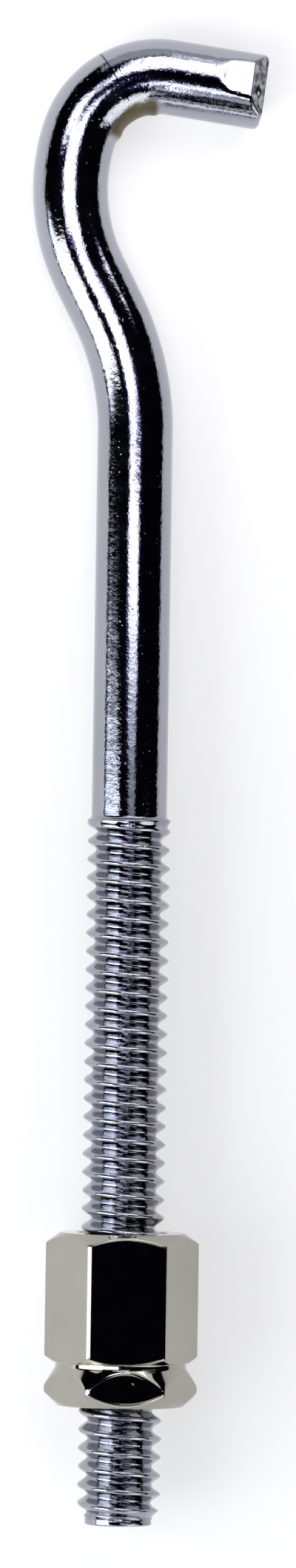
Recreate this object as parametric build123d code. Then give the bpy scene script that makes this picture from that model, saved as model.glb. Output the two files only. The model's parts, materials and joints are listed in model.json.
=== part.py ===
from build123d import *
import math
import os

# A hook bolt with its nut: a steel rod bent to an offset hook at one end and rolled with a
# No. 10-24 thread at the other, and a long hexagon nut with a turned collar.
# Lengths are in millimetres and angles in degrees.
#
# The pieces are drawn in a working frame with the bolt's axis along +Y, its tip at the origin,
# and the hook in the XY plane, opening towards +X. They are then laid down together as the
# bolt comes to rest on a table.

# Rod
rod_diameter = 4.34
shank_length = 22.15  # plain rod between the thread and the first bend

# Hook, as the rod's centre line runs on from the shank
offset_bend_radius = 15.2
offset_bend_angle = 27.1  # away from the hook's opening
offset_straight = 2.4
shoulder_bend_radius = 10.85
shoulder_bend_angle = 43.3  # back towards the opening
hook_bend_radius = 4.78
hook_bend_angle = 82.0
stub_length = 5.4

# End of the stub, as the shear leaves it
end_edge_radius = 0.3
shear_flat_length = 2.1  # the flat that the blade presses on top of the stub
shear_flat_depth = 0.32  # at the end of the rod
fracture_length = 0.72  # the part of the flat that breaks off at the end
fracture_slope = 48.0

# Thread
thread_major_diameter = 4.83
thread_depth = 0.565
thread_pitch = 25.4 / 24
thread_length = 40.75  # from the tip to the rod's full diameter
thread_phase = 0.17  # height of a groove's bottom on the side that the hook opens to
runout_length = 0.6  # over which the groove rises out of the rod
shoulder_length = 0.25  # where the thread's crest steps down to the rod

# Plain tip of the bolt
tip_inset = 0.465  # below the thread's crest
tip_length = 0.43
tip_chamfer_angle = 45.0

# Nut, which is one length of hexagon bar with a plain bore. Insets are radial, from the flats.
hex_across_flats = 7.75
hex_corner_radius = 0.25
nut_from_tip = 6.86
bore_clearance = 0.05  # radial, over the thread's crests
bore_countersink = 0.2  # at each end

# Nut's long hexagon
body_length = 7.43
body_face_inset = 0.275  # of the chamfer's circle at the end that bears
body_face_angle = 36.0
body_back_proud = 0.075  # how far outside the flats the small chamfer beside the neck starts
body_back_angle = 34.0

# Nut's neck and collar
neck_length = 0.3
neck_inset = 0.1
collar_length = 2.21
collar_face_inset = 0.21
collar_face_angle = 45.0
collar_neck_angle = 59.0

# Worked out from the sizes above
rod_radius = rod_diameter / 2
major_radius = thread_major_diameter / 2
root_radius = major_radius - thread_depth
flat_radius = hex_across_flats / 2
body_face_radius = flat_radius - body_face_inset
body_back_radius = flat_radius + body_back_proud
neck_radius = flat_radius - neck_inset
collar_face_radius = flat_radius - collar_face_inset
nut_length = collar_length + neck_length + body_length

standing = (Align.CENTER, Align.CENTER, Align.MIN)


def along_y(piece):
    """Turns a piece made around Z so that its axis runs along +Y."""
    return Rot(X=-90) * piece


# ---------------------------------------------------------------- thread
# The thread is one V-shaped ridge wound as a right-handed helix, which starts and ends some way
# outside the rod and is then trimmed to it. Turns are counted from the height thread_phase.
spare_turns = 1.6  # past each end of the thread
points_per_turn = 16
trim_clearance = 0.2  # between the crest and the outline that trims the ends

first_turn = -spare_turns - thread_phase / thread_pitch
last_turn = (thread_length - thread_phase) / thread_pitch + spare_turns


def helix_point(turn, radius):
    angle = 2 * math.pi * turn
    height = thread_phase + thread_pitch * turn
    return Vector(radius * math.cos(angle), radius * math.sin(angle), height)


def helix_direction(turn, radius):
    angle = 2 * math.pi * turn
    speed = 2 * math.pi * radius
    return Vector(-speed * math.sin(angle), speed * math.cos(angle), thread_pitch).normalized()


def helix(start, radius, lift):
    """One turn of a helix, lifted along the axis."""
    turns = [start + i / points_per_turn for i in range(points_per_turn + 1)]
    rise = Vector(0, 0, lift)
    return Edge.make_spline(
        [helix_point(turn, radius) + rise for turn in turns],
        tangents=[helix_direction(turn, radius) for turn in (start, start + 1)],
        scale=False,
    )


def screw_end(turn):
    """The faces that close the screw: a ramp for one turn round the axis, and a step up it."""
    low, high = helix_point(turn, 0), helix_point(turn + 1, 0)
    crest = helix_point(turn, major_radius) + (high - low) / 2
    step = [low, helix_point(turn, root_radius), crest, helix_point(turn + 1, root_radius), high]
    ramp = Face.make_surface_from_curves(Edge.make_line(low, high), helix(turn, root_radius, 0))
    return [ramp, Face(Wire.make_polygon(step, close=True))]


def screw():
    """A screw with sharp crests and roots, whose flanks are made a turn to each face."""
    count = math.ceil(last_turn - first_turn)
    faces = screw_end(first_turn) + screw_end(first_turn + count)
    for i in range(count):
        root = helix(first_turn + i, root_radius, 0)
        crest = helix(first_turn + i, major_radius, thread_pitch / 2)
        next_root = helix(first_turn + i + 1, root_radius, 0)
        faces.append(Face.make_surface_from_curves(root, crest))
        faces.append(Face.make_surface_from_curves(crest, next_root))
    return Solid(Shell(faces))


def turned(*corners):
    """A solid of revolution round Z, from the radius and height of its outline's corners."""
    return revolve(Plane.XZ * make_face(Polyline(*corners, close=True)), Axis.Z)


def threaded_end():
    """The rolled end of the rod: a plain tip, the thread, and the start of the shank."""
    tip_radius = major_radius - tip_inset
    trim_radius = major_radius + trim_clearance
    chamfer_end = tip_length + (trim_radius - tip_radius) * math.tan(math.radians(tip_chamfer_angle))
    trim = turned(
        (0, 0),
        (tip_radius, 0),
        (tip_radius, tip_length),
        (trim_radius, chamfer_end),
        (trim_radius, thread_length - shoulder_length),
        (rod_radius, thread_length),
        (0, thread_length),
    )
    runout_start = thread_length - runout_length
    shank_start = thread_length + rod_radius
    shank = turned(
        (0, runout_start),
        (root_radius, runout_start),
        (rod_radius, thread_length),
        (rod_radius, shank_start),
        (0, shank_start),
    )
    return along_y((screw() & trim) + shank)


# ---------------------------------------------------------------- hook
def centre_line():
    """The rod's centre line, from the end of the threaded piece to the end of the stub."""
    shank = Line((0, thread_length + rod_radius), (0, thread_length + shank_length))
    away = JernArc(shank @ 1, shank % 1, offset_bend_radius, offset_bend_angle)
    slant = Line(away @ 1, away @ 1 + (away % 1) * offset_straight)
    back = JernArc(slant @ 1, slant % 1, shoulder_bend_radius, -shoulder_bend_angle)
    hook = JernArc(back @ 1, back % 1, hook_bend_radius, -hook_bend_angle)
    stub = Line(hook @ 1, hook @ 1 + (hook % 1) * stub_length)
    return [shank, away, slant, back, hook, stub]


def slope_off(rod, start, direction, slope):
    """Takes off the rod's top beyond a plane that slopes down along a direction."""
    lean = math.radians(slope)
    facing = direction * math.sin(lean) + Vector(0, 0, math.cos(lean))
    block = 2 * rod_diameter
    return rod - Plane(start, z_dir=facing) * Box(block, block, block, align=standing)


def sheared_end(rod, end, direction):
    """Rounds the end of the stub, and takes off the blade's flat and the break beyond it."""
    rod = fillet(rod.faces().sort_by_distance(end)[0].edges(), end_edge_radius)
    flat_start = end - direction * shear_flat_length + Vector(0, 0, rod_radius)
    flat_slope = math.degrees(math.atan2(shear_flat_depth, shear_flat_length))
    rod = slope_off(rod, flat_start, direction, flat_slope)
    drop = shear_flat_depth * (1 - fracture_length / shear_flat_length)
    fracture_start = end - direction * fracture_length + Vector(0, 0, rod_radius - drop)
    return slope_off(rod, fracture_start, direction, fracture_slope)


def bent_rod():
    line = centre_line()
    section = Plane(line[0] @ 0, z_dir=line[0] % 0) * Circle(rod_radius)
    rod = sweep(section, Wire(line))
    return sheared_end(rod, line[-1] @ 1, line[-1] % 1)


def hook_bolt():
    return threaded_end() + bent_rod()


# ---------------------------------------------------------------- nut
def turned_hexagon(length, low_radius, low_angle, high_radius, high_angle):
    """Hexagon bar standing on the origin, with its corners turned off at each end."""
    section = RegularPolygon(flat_radius, 6, major_radius=False)
    section = fillet(section.vertices(), hex_corner_radius)
    low_reach = low_radius + length / math.tan(math.radians(low_angle))
    high_reach = high_radius + length / math.tan(math.radians(high_angle))
    low_cone = Cone(low_radius, low_reach, length, align=standing)
    high_cone = Cone(high_reach, high_radius, length, align=standing)
    return extrude(section, length) & low_cone & high_cone


def hex_nut():
    bore_radius = major_radius + bore_clearance
    collar = turned_hexagon(
        collar_length, collar_face_radius, collar_face_angle, neck_radius, collar_neck_angle
    )
    neck = Cylinder(neck_radius, neck_length, align=standing)
    body = turned_hexagon(
        body_length, body_back_radius, body_back_angle, body_face_radius, body_face_angle
    )
    nut = collar + Pos(Z=collar_length) * neck + Pos(Z=collar_length + neck_length) * body
    bore = Cylinder(bore_radius, nut_length, align=standing)
    mouth = Cone(bore_radius + bore_countersink, bore_radius, bore_countersink, align=standing)
    nut -= bore + mouth + Pos(Z=nut_length) * Rot(X=180) * mouth
    return Pos(Y=nut_from_tip) * along_y(nut)


# ---------------------------------------------------------------- lying at rest
# The nut lies on a flat, on the end of it nearest the hook, and the hook lies on the underside
# of its crown. The rod is thinner than the nut, so the axis dips towards the hook.
flat_end = nut_from_tip + nut_length - body_face_inset * math.tan(math.radians(body_face_angle))
crown = Wire(centre_line()).bounding_box().max.Y
span = crown - flat_end
dip = math.atan2(flat_radius, span) - math.asin(rod_radius / math.hypot(span, flat_radius))
tip_height = flat_radius * math.cos(dip) + flat_end * math.sin(dip)
lay_down = Pos(Z=tip_height) * Rot(X=-math.degrees(dip))

# The origin is under the middle of the whole bolt
bolt = lay_down * hook_bolt()
nut = lay_down * hex_nut()
box = Compound([*bolt.solids(), *nut.solids()]).bounding_box()
centred = Pos(X=-box.center().X, Y=-box.center().Y)

os.makedirs("parts", exist_ok=True)
export_step(centred * bolt, "parts/hook_bolt.step")
export_step(centred * nut, "parts/hex_nut.step")
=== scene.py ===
import json
import math

import bmesh
import bpy
import numpy as np
from mathutils import Matrix, Vector, noise


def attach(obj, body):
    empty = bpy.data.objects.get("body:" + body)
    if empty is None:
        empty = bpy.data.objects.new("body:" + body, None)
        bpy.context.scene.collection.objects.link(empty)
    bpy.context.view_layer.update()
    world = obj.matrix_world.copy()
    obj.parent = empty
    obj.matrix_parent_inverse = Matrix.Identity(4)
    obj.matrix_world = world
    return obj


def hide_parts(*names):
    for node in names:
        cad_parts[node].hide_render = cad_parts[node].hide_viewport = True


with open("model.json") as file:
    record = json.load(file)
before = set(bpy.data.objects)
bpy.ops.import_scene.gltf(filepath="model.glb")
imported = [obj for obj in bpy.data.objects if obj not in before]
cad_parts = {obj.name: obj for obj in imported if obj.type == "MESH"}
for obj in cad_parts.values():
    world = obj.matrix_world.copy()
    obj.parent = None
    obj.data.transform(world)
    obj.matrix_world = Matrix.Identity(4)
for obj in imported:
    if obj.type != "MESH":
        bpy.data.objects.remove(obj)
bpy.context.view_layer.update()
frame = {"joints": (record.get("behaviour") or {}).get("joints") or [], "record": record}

# A plated hook bolt and its hexagon nut, lying on a pale floor. Blender works in metres; the
# sizes below are in millimetres, in the bolt's own frame: +Y from the tip to the hook, +X the
# way the hook opens, +Z up out of the hook's plane. A place along the rod is its distance from
# the tip, and an angle round it is counted from +X, or from the opening's side in a bend.

MM = 0.001

# ---------------------------------------------------------------- sizes
# Rod; each bend is its radius and its turn in degrees, to the right
rod_radius = 2.17
shank_length = 22.15
offset_bend = (15.2, -27.1)
offset_straight = 2.4
shoulder_bend = (10.85, 43.3)
hook_bend = (4.78, 82.0)
stub_length = 5.4
tip_edge = 0.12  # rounding of the tip's edge
stub_edge = 0.3  # rounding of the stub's edge
bulge_height = 0.11  # of the metal squeezed out inside the hook bend
bulges = ((1.1, 0.7, 1.0), (5.7, 0.5, 0.8))  # place in the bend, width, share of the height

# Thread
pitch = 25.4 / 24
thread_depth = 0.52
crest_narrowing = 1.08  # above 1 for crests narrower than the grooves
depth_wobble = 0.05  # of the depth
mark_depth = 0.03  # of the unevenness that the rolling leaves
thread_phase = 0.17  # height of a groove's bottom on the side that the hook opens to
runout_length = 0.6 * pitch
shoulder_length = 0.25  # where the crest steps down to the rod
tip_radius = 1.95
tip_length = 0.43
tip_blend = 0.05  # rounding between the plain tip and its chamfer

# Blade's flat on top of the stub, and the break; distances are counted back from the end
flat_start = 2.85
flat_entry_slope = 0.31
flat_slope = 0.05
flat_depth = 0.225  # at flat_middle
flat_middle = 2.1
flat_roll = math.radians(15.6)  # away from the bolt's tip
fracture_length = 0.85
fracture_depth = 0.27  # where it starts
fracture_slope = math.tan(math.radians(45))
pit_back = 0.62
pit_radius = 0.28
pit_depth = 0.2
pit_lip = 0.07
flat_blend, break_blend, cut_blend = 0.05, 0.03, 0.04  # roundings between these

# Nut
flat_radius = 7.75 / 2
corner_rounding = 0.36
turned_blend = 0.09  # rounding between the flats and the turned cones
nut_from_tip = 6.86
body_length = 7.43
neck_length = 0.3
collar_length = 2.21
bore_clearance = 0.05
bore_countersink = 0.2
body_face_radius = flat_radius - 0.275
body_face_angle = 36
body_back_radius = flat_radius + 0.075
body_back_angle = 34
neck_radius = flat_radius - 0.1
collar_neck_angle = 59
collar_face_radius = flat_radius - 0.21
collar_face_angle = 45

# ---------------------------------------------------------------- the bolt's own frame
mounts = {mount["name"]: mount for mount in frame["record"]["mounts"]}
axis = Vector(frame["joints"][0]["axis"])
thread_end = mounts["threaded_end"]["dims"]["length_mm"]
major_radius = mounts["threaded_end"]["dims"]["r_mm"]
bore_radius = major_radius + bore_clearance
tip = Vector(mounts["threaded_end"]["pos_m"]) - axis * (thread_end / 2 * MM)
side = Vector((1, 0, 0))
to_row = Matrix((side, axis, side.cross(axis))).transposed().to_4x4()
to_row.translation = tip


def in_row(points):
    """Points of the bolt's own frame in millimetres, as points of the row frame in metres."""
    turn = np.array(to_row.to_3x3())
    return points * MM @ turn.T + np.array(tip)


def smooth_min(a, b, width):
    """The lower of two values, with the corner between them rounded over a width."""
    gap = np.clip(0.5 + 0.5 * (b - a) / width, 0, 1)
    return b * (1 - gap) + a * gap - width * gap * (1 - gap)


def ramp(value, low, high):
    """0 below low, 1 above high, and smooth between."""
    t = np.clip((value - low) / (high - low), 0, 1)
    return t * t * (3 - 2 * t)


def grain(points, size):
    """Smooth noise between about -1 and 1 at each point, with blobs of a size in millimetres."""
    values = [noise.noise(Vector(p) / size) for p in points.reshape(-1, 3)]
    return np.array(values).reshape(points.shape[:-1])


# ---------------------------------------------------------------- the rod's centre line
def straight(length):
    """A run's length, bend radius and turn in radians."""
    return (length, None, 0.0)


def bend(radius, turn):
    return (radius * math.radians(abs(turn)), radius, math.radians(turn))


first_bend = thread_end + shank_length
runs = [
    straight(first_bend),
    bend(*offset_bend),
    straight(offset_straight),
    bend(*shoulder_bend),
    bend(*hook_bend),
    straight(stub_length),
]
rod_length = sum(length for length, _, _ in runs)
hook_start = rod_length - stub_length - hook_bend[0] * math.radians(hook_bend[1])


def route(s):
    """Where the centre line is at a distance from the tip, and its heading, clockwise from +Y."""
    x, y, heading = 0.0, 0.0, 0.0
    for length, radius, turn in runs:
        step = min(s, length)
        if radius is None:
            x += step * math.sin(heading)
            y += step * math.cos(heading)
        else:
            turned = turn * step / length
            lean = math.copysign(radius, turn)
            x += lean * (math.cos(heading) - math.cos(heading + turned))
            y += lean * (math.sin(heading + turned) - math.sin(heading))
            heading += turned
        s -= step
        if s <= 0:
            break
    return x, y, heading


# ---------------------------------------------------------------- bolt
around = 72  # points in each ring


def from_groove(s, angle):
    """Turns of the thread, and how far a point rises from the groove's bottom, from 0 to 1."""
    turns = (s - thread_phase) / pitch - angle / (2 * math.pi)
    return turns, (0.5 - 0.5 * np.cos(2 * math.pi * turns)) ** crest_narrowing


def thread_radius(s, angle):
    """The rolled thread's surface, with its rounded crests and roots and its run-out."""
    turns, rise = from_groove(s, angle)
    # Deeper and shallower by turns, in a pattern that doesn't repeat from groove to groove
    wobble = 1 + depth_wobble * np.sin(angle * 2 + turns * 0.7) * np.sin(turns * 1.9)
    shoulder = thread_end - shoulder_length
    depth = thread_depth * (1 - rise) * wobble
    depth *= 1 - ramp(s, shoulder - runout_length, shoulder)
    crest = major_radius - (major_radius - rod_radius) * ramp(s, shoulder, thread_end)
    return crest - depth


def thread_share(along, angles):
    """How deep in the thread's groove each point is, from 0 at the crest to 1 at the root."""
    s, angle = np.meshgrid(along, angles, indexing="ij")
    return np.where(s < thread_end, np.clip(1 - from_groove(s, angle)[1], 0, 1), 0)


def rod_profile(s, angle):
    """How far the surface is from the centre line at a distance from the tip and an angle."""
    radius = np.where(s < thread_end, thread_radius(s, angle), rod_radius)
    tip_limit = tip_radius + np.clip(s - tip_length, 0, None)
    return smooth_min(radius, tip_limit, tip_blend)


def bend_bulge(past_hook_start, inner):
    """The metal that the former squeezes out at each end of the hook bend's inside."""
    ends = 0.0
    for place, width, share in bulges:
        ends += share * np.exp(-(((past_hook_start - place) / width) ** 2))
    return bulge_height * ends * ramp(inner, 0.75, 1.0)


def press_end(across, height, back):
    """The blade's flat along the top of the stub, and the break beyond it with its pit."""
    entry = flat_entry_slope * (flat_start - back)
    pressed = smooth_min(entry, flat_depth + flat_slope * (flat_middle - back), flat_blend)
    flat = rod_radius - pressed
    broken = rod_radius - fracture_depth - fracture_slope * (fracture_length - back)
    out = height * math.cos(flat_roll) - across * math.sin(flat_roll)
    cut = out - smooth_min(out, smooth_min(flat, broken, break_blend), cut_blend)
    rough = ramp(flat - broken, 0.0, 0.08) * ramp(cut, 0.0, 0.05)
    from_pit = np.hypot(back - pit_back, across) / pit_radius
    hollow = pit_depth * np.exp(-(from_pit**2))
    lip = pit_lip * np.exp(-((from_pit - 1.4) ** 2) / 0.15)
    cut = cut + rough * (hollow - lip)
    return across + cut * math.sin(flat_roll), height - cut * math.cos(flat_roll), rough


def mark_thread(points, along):
    """Sinks the thread by the small unevenness that the rolling leaves."""
    coarse, fine = 0.5, 0.2
    rolled = (along > tip_length) & (along < thread_end - shoulder_length)
    marks = grain(points[rolled], coarse) + 0.5 * grain(points[rolled], fine) - 1
    radial = np.array([1, 0, 1])
    points[rolled] *= 1 + mark_depth * marks[..., None] * radial / major_radius


def roughen(points, rough):
    """Breaks up the torn end with chips of two sizes."""
    coarse, fine = 0.35, 0.13
    broken = rough > 0.01
    torn = points[broken]
    chips = 0.045 * grain(torn, coarse) + 0.03 * grain(torn, fine) - 0.03
    torn[..., 2] += chips * rough[broken]
    points[broken] = torn


def ring_places():
    """Distances from the tip at which the rod's rings lie, closer where there is more shape."""
    spans = (  # start, end and step
        (tip_edge, thread_end + 0.4, pitch / 22),  # thread
        (thread_end + 0.5, first_bend - 1, 0.3),  # shank
        (first_bend - 0.8, rod_length - 3.1, 0.16),  # bends
        (rod_length - 3.0, rod_length - stub_edge, 0.045),  # flat and break
    )
    places = []
    for start, end, step in spans:
        count = round((end - start) / step)
        places += [start + (end - start) * i / count for i in range(count + 1)]
    return places


def edge_rings(rounding, rows):
    """Insets of the rings round an edge, and their distances from the end."""
    turn = [math.pi / 2 * i / rows for i in range(rows + 1)]
    return [(rounding * (1 - math.cos(a)), rounding * (1 - math.sin(a))) for a in turn]


def rod_rings():
    """Each ring's distance along the rod, its inset round an edge and its share of an end face."""
    rings = [(0.0, 0.0, share) for share in (0.0, 0.3, 0.6, 0.8, 0.92)]
    rings += [(back, inset, None) for inset, back in reversed(edge_rings(tip_edge, 5))]
    rings += [(s, 0.0, None) for s in ring_places()[1:-1]]
    rings += [(rod_length - back, inset, None) for inset, back in edge_rings(stub_edge, 9)]
    rings += [(rod_length, 0.0, 1 - i / 20) for i in range(1, 21)]
    return rings


def build_rod():
    """The rod's points in rings, with how far along each ring is and how torn each point is."""
    angles = np.linspace(0, 2 * math.pi, around, endpoint=False)
    points, along, torn = [], [], []
    for s, inset, share in rod_rings():
        x, y, heading = route(s)
        radius = rod_profile(s, angles) - inset
        radius += bend_bulge(s - hook_start, np.cos(angles))
        if share is not None:
            radius = (radius - (stub_edge if s else tip_edge)) * share
        across = radius * np.cos(angles)
        height = radius * np.sin(angles)
        rough = np.zeros(around)
        if rod_length - s < flat_start:
            across, height, rough = press_end(across, height, rod_length - s)
        right = (math.cos(heading), -math.sin(heading))
        points.append(np.stack([x + across * right[0], y + across * right[1], height], axis=-1))
        along.append(s)
        torn.append(rough)
    points, along, torn = np.array(points), np.array(along), np.array(torn)
    mark_thread(points, along)
    roughen(points, torn)
    return points, along, angles, torn


# ---------------------------------------------------------------- meshes
def mesh_from_rings(name, points):
    """A skin through rings of points."""
    rings, count, _ = points.shape
    verts = in_row(points.reshape(-1, 3)).tolist()
    faces = []
    for i in range(rings - 1):
        for j in range(count):
            k = (j + 1) % count
            faces.append((i * count + j, (i + 1) * count + j, (i + 1) * count + k, i * count + k))
    mesh = bpy.data.meshes.new(name)
    mesh.from_pydata(verts, [], faces)
    mesh.validate()
    return mesh


def attribute(mesh, name, values):
    data = mesh.attributes.new(name, "FLOAT", "POINT")
    data.data.foreach_set("value", np.asarray(values, np.float32).ravel())


def finish_mesh(mesh):
    """Joins points that fall together, turns the faces outwards and shades them smooth."""
    merge = 1e-7
    work = bmesh.new()
    work.from_mesh(mesh)
    bmesh.ops.remove_doubles(work, verts=work.verts, dist=merge)
    bmesh.ops.dissolve_degenerate(work, edges=work.edges, dist=merge)
    bmesh.ops.recalc_face_normals(work, faces=work.faces)
    work.to_mesh(mesh)
    work.free()
    mesh.shade_smooth()


def add_piece(mesh, body, node, material):
    piece = bpy.data.objects.new(mesh.name, mesh)
    bpy.context.scene.collection.objects.link(piece)
    mesh.materials.append(material)
    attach(piece, body)
    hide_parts(node)


def make_rod(material):
    points, along, angles, torn = build_rod()
    mesh = mesh_from_rings("plated_rod", points)
    attribute(mesh, "along", np.repeat(along, around))
    attribute(mesh, "round_x", np.tile(np.cos(angles), len(along)))
    attribute(mesh, "round_z", np.tile(np.sin(angles), len(along)))
    attribute(mesh, "fracture", torn)
    attribute(mesh, "depth", thread_share(along, angles))
    finish_mesh(mesh)
    add_piece(mesh, "bolt", "hook_bolt", material)


# ---------------------------------------------------------------- nut
def hexagon_radius(angles):
    """Distance to a hexagon bar's surface, with its corners rounded."""
    sector = np.mod(angles + math.pi / 6, math.pi / 3) - math.pi / 6
    flat = flat_radius / np.cos(sector)
    round_centre = flat_radius / math.cos(math.pi / 6) - corner_rounding / math.cos(math.pi / 6)
    from_corner = math.pi / 6 - np.abs(sector)
    off_line = round_centre * np.sin(from_corner)
    reach = round_centre * np.cos(from_corner) + np.sqrt(
        np.maximum(corner_rounding**2 - off_line**2, 0)
    )
    rounded = off_line < corner_rounding * 0.5
    return np.where(rounded, np.minimum(flat, reach), flat)


def cones_meet(low, low_angle, high, high_angle):
    """Where a cone that opens upwards meets one that opens downwards, as (radius, place)."""
    rise, fall = math.tan(math.radians(low_angle)), math.tan(math.radians(high_angle))
    radius = (high[1] - low[1] + rise * low[0] + fall * high[0]) / (rise + fall)
    return (radius, low[1] + rise * (radius - low[0]))


def nut_outline():
    """Radius and distance from the collar's face, from the bore round the outside and back."""
    body_base = collar_length + neck_length
    length = body_base + body_length
    mouth_radius = bore_radius + bore_countersink
    collar_face = (collar_face_radius, 0.0)
    collar_neck = (neck_radius, collar_length)
    corner = flat_radius / math.cos(math.pi / 6) + 0.2  # outside the hexagon's corners
    back_rise = (corner - body_back_radius) * math.tan(math.radians(body_back_angle))
    face_drop = (corner - body_face_radius) * math.tan(math.radians(body_face_angle))
    return [
        (bore_radius, length / 2),
        (bore_radius, bore_countersink),
        (mouth_radius, 0.0),
        collar_face,
        cones_meet(collar_face, collar_face_angle, collar_neck, collar_neck_angle),
        collar_neck,
        (neck_radius, body_base),
        (body_back_radius, body_base),
        (corner, body_base + back_rise),
        (corner, length - face_drop),
        (body_face_radius, length),
        (mouth_radius, length),
        (bore_radius, length - bore_countersink),
        (bore_radius, length / 2),
    ]


def nut_rows():
    """Points along the nut's outline, close together except down the bore."""
    step, bore_steps = 0.07, 6
    outline = nut_outline()
    rows = []
    for (r0, z0), (r1, z1) in zip(outline, outline[1:]):
        count = max(2, round(math.hypot(r1 - r0, z1 - z0) / step))
        if r0 == r1 == bore_radius:
            count = bore_steps
        rows += [(r0 + (r1 - r0) * i / count, z0 + (z1 - z0) * i / count) for i in range(count)]
    return rows + [outline[-1]]


def nut_angles():
    """Angles round the nut, close together at its corners."""
    per_side, crowding = 34, 1.8
    steps = np.linspace(-1, 1, per_side, endpoint=False)
    about_corner = np.sign(steps) * np.abs(steps) ** crowding * math.pi / 6
    sides = [(k + 0.5) * math.pi / 3 + about_corner for k in range(6)]
    return np.sort(np.mod(np.concatenate(sides), 2 * math.pi))


def make_nut(material):
    angles = nut_angles()
    hexagon = hexagon_radius(angles)
    points = []
    for radius, place in nut_rows():
        reach = smooth_min(radius, hexagon, turned_blend)
        along = np.full_like(angles, nut_from_tip + place)
        points.append(np.stack([reach * np.sin(angles), along, reach * np.cos(angles)], axis=-1))
    mesh = mesh_from_rings("hexagon_nut", np.array(points))
    finish_mesh(mesh)
    add_piece(mesh, "nut", "hex_nut", material)


# ---------------------------------------------------------------- materials
class Nodes:
    """Short calls for building one material's node tree."""

    def __init__(self, name):
        self.material = bpy.data.materials.new(name)
        self.material.use_nodes = True
        self.tree = self.material.node_tree
        self.shader = self.tree.nodes["Principled BSDF"]

    def add(self, kind, **values):
        """A new node; a value whose name starts with in_ goes to the input of that name."""
        node = self.tree.nodes.new(kind)
        for key, value in values.items():
            if key.startswith("in_"):
                node.inputs[key[3:].replace("_", " ")].default_value = value
            else:
                setattr(node, key, value)
        return node

    def link(self, source, target):
        self.tree.links.new(source, target)

    def math(self, operation, a, b):
        node = self.add("ShaderNodeMath", operation=operation)
        for socket, value in zip(node.inputs, (a, b)):
            if isinstance(value, (int, float)):
                socket.default_value = value
            else:
                self.link(value, socket)
        return node.outputs[0]

    def times(self, *factors):
        """The product of two or more sockets or numbers."""
        product = factors[0]
        for factor in factors[1:]:
            product = self.math("MULTIPLY", product, factor)
        return product

    def ramp(self, value, low, high, to_low=0.0, to_high=1.0):
        node = self.add(
            "ShaderNodeMapRange",
            interpolation_type="SMOOTHSTEP",
            in_From_Min=low,
            in_From_Max=high,
            in_To_Min=to_low,
            in_To_Max=to_high,
        )
        self.link(value, node.inputs["Value"])
        return node.outputs["Result"]

    def attribute(self, name):
        return self.add("ShaderNodeAttribute", attribute_name=name).outputs["Fac"]

    def noise(self, place, scale, detail=2.0, roughness=0.5):
        node = self.add(
            "ShaderNodeTexNoise", in_Scale=scale, in_Detail=detail, in_Roughness=roughness
        )
        self.link(place, node.inputs["Vector"])
        return node.outputs["Fac"]

    def dots(self, place, scale, size, patch_scale, patch_low, patch_high):
        """Round dots, kept only in the patches of a coarser noise."""
        cells = self.add("ShaderNodeTexVoronoi", feature="F1", in_Scale=scale)
        self.link(place, cells.inputs["Vector"])
        dot = self.ramp(cells.outputs["Distance"], 0.0, size, 1.0, 0.0)
        patches = self.noise(place, patch_scale, detail=1.0)
        return self.times(dot, self.ramp(patches, patch_low, patch_high))

    def mix(self, share, low, high):
        """A colour between two, by a share that is a socket."""
        node = self.add("ShaderNodeMix", data_type="RGBA")
        self.link(share, node.inputs["Factor"])
        for socket, value in zip(node.inputs[6:8], (low, high)):
            if isinstance(value, tuple):
                socket.default_value = (*value, 1)
            else:
                self.link(value, socket)
        return node.outputs[2]

    def bump(self, height, distance, strength, below=None):
        """A bump of a height in metres, laid over the normal of another."""
        node = self.add("ShaderNodeBump", in_Distance=distance, in_Strength=strength)
        self.link(height, node.inputs["Height"])
        if below is not None:
            self.link(below, node.inputs["Normal"])
        return node.outputs["Normal"]

    def vector(self, *parts):
        node = self.add("ShaderNodeCombineXYZ")
        for socket, part in zip(node.inputs, parts):
            self.link(part, socket)
        return node.outputs[0]


def rod_tint(n, place, along, round_x, round_z, fracture):
    """The plating's colour: bluish, with painted shade darkening the grooves, cracked and stained
    at the hook bend.
    """
    past_start = n.math("SUBTRACT", along, hook_start)

    # A fine crack in the plating, round the outer part of the hook's bend
    crack_place, crack_width = 3.64, 0.045
    crack = n.math("COMPARE", past_start, crack_place)
    crack.node.inputs[2].default_value = crack_width
    outer = n.ramp(round_x, 0.46, 0.52, 1.0, 0.0)
    upper = n.ramp(round_z, -0.2, 0.0)
    crack = n.times(crack, outer, upper)

    # A brown stain inside the bend
    stain_edge = n.math("ADD", round_x, n.times(n.noise(place, 1500, detail=3.0), 0.3))
    stain = n.times(
        n.ramp(past_start, 0.3, 1.2),
        n.ramp(past_start, 5.6, 6.3, 1.0, 0.0),
        n.ramp(stain_edge, 0.74, 0.88),
    )

    tint = n.mix(n.noise(place, 260), (0.31, 0.325, 0.365), (0.36, 0.37, 0.395))
    # Painted shade: the colour turns darker and bluer towards the bottom of each thread groove,
    # where shade falls
    tint = n.mix(n.ramp(n.attribute("depth"), 0.2, 0.9, 0.0, 0.3), tint, (0.13, 0.135, 0.18))
    tint = n.mix(stain, tint, (0.105, 0.088, 0.05))
    tint = n.mix(n.times(crack, 0.85), tint, (0.07, 0.07, 0.08))
    torn_share = n.ramp(n.noise(place, 2200), 0.4, 0.6)
    torn = n.mix(torn_share, (0.06, 0.06, 0.075), (0.32, 0.32, 0.35))
    return n.mix(n.times(fracture, 0.8), tint, torn), stain


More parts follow.
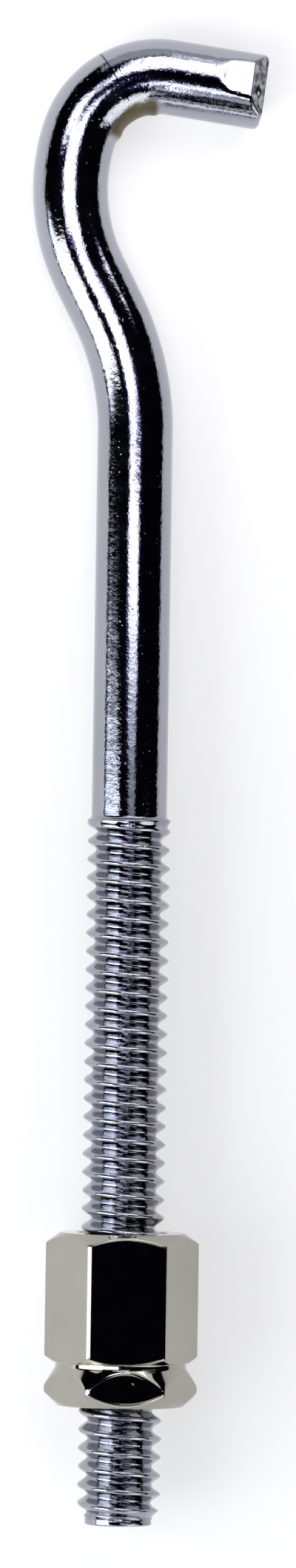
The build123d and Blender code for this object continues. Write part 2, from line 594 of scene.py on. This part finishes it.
def rod_material():
    """Bright plating over drawn wire: grain, pits and scratches, and the marks of the bending."""
    n = Nodes("rod_plating")
    place = n.add("ShaderNodeTexCoord").outputs["Object"]
    along, fracture = n.attribute("along"), n.attribute("fracture")
    round_x, round_z = n.attribute("round_x"), n.attribute("round_z")
    lengthways = n.vector(n.times(along, 0.12), round_x, round_z)
    dents = n.noise(place, 750)

    tint, stain = rod_tint(n, place, along, round_x, round_z, fracture)
    n.link(tint, n.shader.inputs["Base Color"])
    rough = n.math("ADD", n.ramp(dents, 0.3, 0.8, 0.05, 0.1), n.times(stain, 0.3))
    rough = n.math("ADD", rough, n.times(fracture, 0.15))
    n.link(rough, n.shader.inputs["Roughness"])
    n.shader.inputs["Metallic"].default_value = 1.0

    normal = n.bump(dents, 0.00004, 0.5)
    normal = n.bump(n.noise(place, 2600, detail=3.0, roughness=0.6), 0.00002, 0.7, normal)
    normal = n.bump(n.noise(place, 8000), 0.000006, 0.7, normal)
    normal = n.bump(n.noise(lengthways, 9.0, detail=4.0, roughness=0.6), 0.00001, 0.5, normal)
    normal = n.bump(n.dots(place, 4500, 0.3, 2100, 0.56, 0.66), -0.000012, 0.8, normal)
    n.link(normal, n.shader.inputs["Normal"])
    return n.material


def nut_material():
    """Warmer, smoother plating on the turned bar, with a few specks."""
    n = Nodes("nut_plating")
    place = n.add("ShaderNodeTexCoord").outputs["Object"]
    tint = n.mix(n.noise(place, 300), (0.33, 0.318, 0.27), (0.38, 0.366, 0.315))
    n.link(tint, n.shader.inputs["Base Color"])
    rough = n.ramp(n.noise(place, 1200, detail=3.0), 0.3, 0.7, 0.03, 0.07)
    n.link(rough, n.shader.inputs["Roughness"])
    n.shader.inputs["Metallic"].default_value = 1.0
    normal = n.bump(n.noise(place, 900), 0.000004, 0.5)
    normal = n.bump(n.dots(place, 2200, 0.2, 1500, 0.6, 0.68), 0.00002, 0.8, normal)
    n.link(normal, n.shader.inputs["Normal"])
    return n.material


# ---------------------------------------------------------------- stage
def make_floor():
    half = 3.0  # metres
    corners = [(-half, -half, 0), (half, -half, 0), (half, half, 0), (-half, half, 0)]
    mesh = bpy.data.meshes.new("floor")
    mesh.from_pydata(corners, [], [(0, 1, 2, 3)])
    floor = bpy.data.objects.new("floor", mesh)
    bpy.context.scene.collection.objects.link(floor)
    n = Nodes("floor")
    n.shader.inputs["Base Color"].default_value = (0.98, 0.98, 0.98, 1)
    n.shader.inputs["Roughness"].default_value = 0.9
    n.shader.inputs["Specular IOR Level"].default_value = 0.0
    # Half of what the camera sees is plain white, and the other half carries the shadow
    path = n.add("ShaderNodeLightPath").outputs
    seen = n.math("MAXIMUM", path["Is Camera Ray"], path["Is Glossy Ray"])
    seen = n.math("MAXIMUM", seen, path["Is Transmission Ray"])
    both = n.add("ShaderNodeMixShader")
    n.link(n.times(seen, 0.5), both.inputs["Fac"])
    n.link(n.shader.outputs["BSDF"], both.inputs[1])
    n.link(n.add("ShaderNodeEmission", in_Strength=1.0).outputs["Emission"], both.inputs[2])
    n.link(both.outputs["Shader"], n.tree.nodes["Material Output"].inputs["Surface"])
    mesh.materials.append(n.material)


def make_world():
    world = bpy.data.worlds.new("room")
    world.use_nodes = True
    background = world.node_tree.nodes["Background"]
    background.inputs["Color"].default_value = (0.002, 0.002, 0.005, 1)
    bpy.context.scene.world = world


white, cool, violet = (1.0, 1.0, 1.0), (0.86, 0.9, 1.0), (0.35, 0.25, 1.0)


def add_lamp(name, place, facing, size, level, tint):
    """A rectangular lamp of an even brightness, where level 1 looks as bright as white paper."""
    data = bpy.data.lights.new(name, "AREA")
    data.shape = "RECTANGLE"
    data.size, data.size_y = size[0] * MM, size[1] * MM
    data.energy = math.pi * data.size * data.size_y * level
    data.color = tint
    lamp = bpy.data.objects.new(name, data)
    lamp.visible_camera = False
    bpy.context.scene.collection.objects.link(lamp)
    lamp.location = place
    lamp.rotation_euler = facing.to_track_quat("-Z", "Y").to_euler()


def ceiling_lamp(name, left, right, near, far, height, level, tint):
    """A lamp that hangs level over a part of the bolt; left to far are row X and Y."""
    place = Vector(((left + right) / 2, (near + far) / 2, height)) * MM
    add_lamp(name, place, Vector((0, 0, -1)), (right - left, far - near), level, tint)


def rimmed_lamp(name, left, right, near, far, height, level):
    """A white ceiling lamp with a wider, dim violet one above it, which shows round its edge."""
    ceiling_lamp(name, left, right, near, far, height, level, white)
    rim = 0.06 * height
    edges = (left - rim, right + rim, near - rim, far + rim)
    ceiling_lamp(name + "_rim", *edges, height + 1, 0.3, violet)


def sky_lamp(name, bearing, tilt, wide, high, level, tint):
    """A soft box half a metre away: its bearing runs from +X to +Y, its tilt from the zenith."""
    distance = 500
    turn, lean = math.radians(bearing), math.radians(tilt)
    out = math.sin(lean)
    way = Vector((out * math.cos(turn), out * math.sin(turn), math.cos(lean)))
    size = [2 * distance * math.tan(math.radians(angle / 2)) for angle in (wide, high)]
    add_lamp(name, way * distance * MM, -way, size, level, tint)


def make_lamps():
    """Lamps placed for the bands that the rod reflects. Those that overlap differ in height,
    because lamps in one plane hide each other in patches."""
    bright = 2.9
    for lamp in (
        ("over_shank", -15, 11, 9, 14, 62),
        ("over_shank_top", -21, 11, 14, 22, 62),
        ("over_first_bend", -21, -1, 22, 28, 62),
        ("over_slant", -8, 1, 23, 31, 22),
        ("over_shoulder", -14, -1.5, 31, 42, 22),
        ("over_bend", -22, -9, 42, 51, 22),
        ("behind_stub", -18, 74, 65, 140, 62),
        ("beside_nut", -90, -8, -38, -24, 60),
    ):
        rimmed_lamp(*lamp, bright)
    for lamp in (
        ("over_shank_low", -12, 10, 4.5, 9, 62, 1.2, cool),
        ("over_shank_foot", -9, 10, -1, 4.5, 62, 0.6, cool),
        ("over_shank_left", -300, -60, 1, 7, 62, 1.1, cool),
        ("over_shank_mid_left", -300, -75, 7, 14, 62, 0.38, cool),
        ("over_shank_far_left", -700, -170, -4, 18, 64, 0.5, cool),
        ("over_thread_left", -450, -43, -90, 1, 62, 3.3, cool),
        ("over_thread", -4, 11, -23, -3, 62, 1.0, cool),
        ("over_thread_right", 37, 100, -25, -8, 62, 0.6, cool),
        ("over_tip_right", 2, 100, -62, -42, 62, 0.9, cool),
        ("before_tip", -60, 60, -160, -105, 62, 1.0, white),
    ):
        ceiling_lamp(*lamp)
    for lamp in (
        ("left", 205, 61, 28, 46, bright, white),
        ("back_low", 90, 78, 50, 22, 0.75, cool),
        ("front_low", 270, 83, 70, 12, 2.0, cool),
        ("back_right", 62, 58, 34, 34, 1.2, white),
        ("front_left", 230, 55, 34, 40, 0.8, white),
        ("front_right", 315, 60, 45, 36, 1.9, white),
    ):
        sky_lamp(*lamp)


def make_camera():
    """Overhead, a little to the left of the bolt, with the bolt leaning slightly to the right."""
    distance = 560.0
    frame_height = 90.27
    turn = math.radians(4.4)
    roll = math.radians(0.9)
    aim = Vector((1.056, 42.64, 0))
    data = bpy.data.cameras.new("camera")
    data.lens = data.sensor_width * distance / frame_height
    data.clip_start = 0.01
    camera = bpy.data.objects.new("camera", data)
    bpy.context.scene.collection.objects.link(camera)
    looking = Matrix.Rotation(-turn, 4, "Y") @ Matrix.Rotation(roll, 4, "Z")
    back_off = Matrix.Translation((0, 0, distance * MM))
    camera.matrix_world = to_row @ Matrix.Translation(aim * MM) @ looking @ back_off
    bpy.context.scene.camera = camera


make_rod(rod_material())
make_nut(nut_material())
make_floor()
make_world()
make_lamps()
make_camera()
bpy.context.scene.view_settings.view_transform = "Standard"
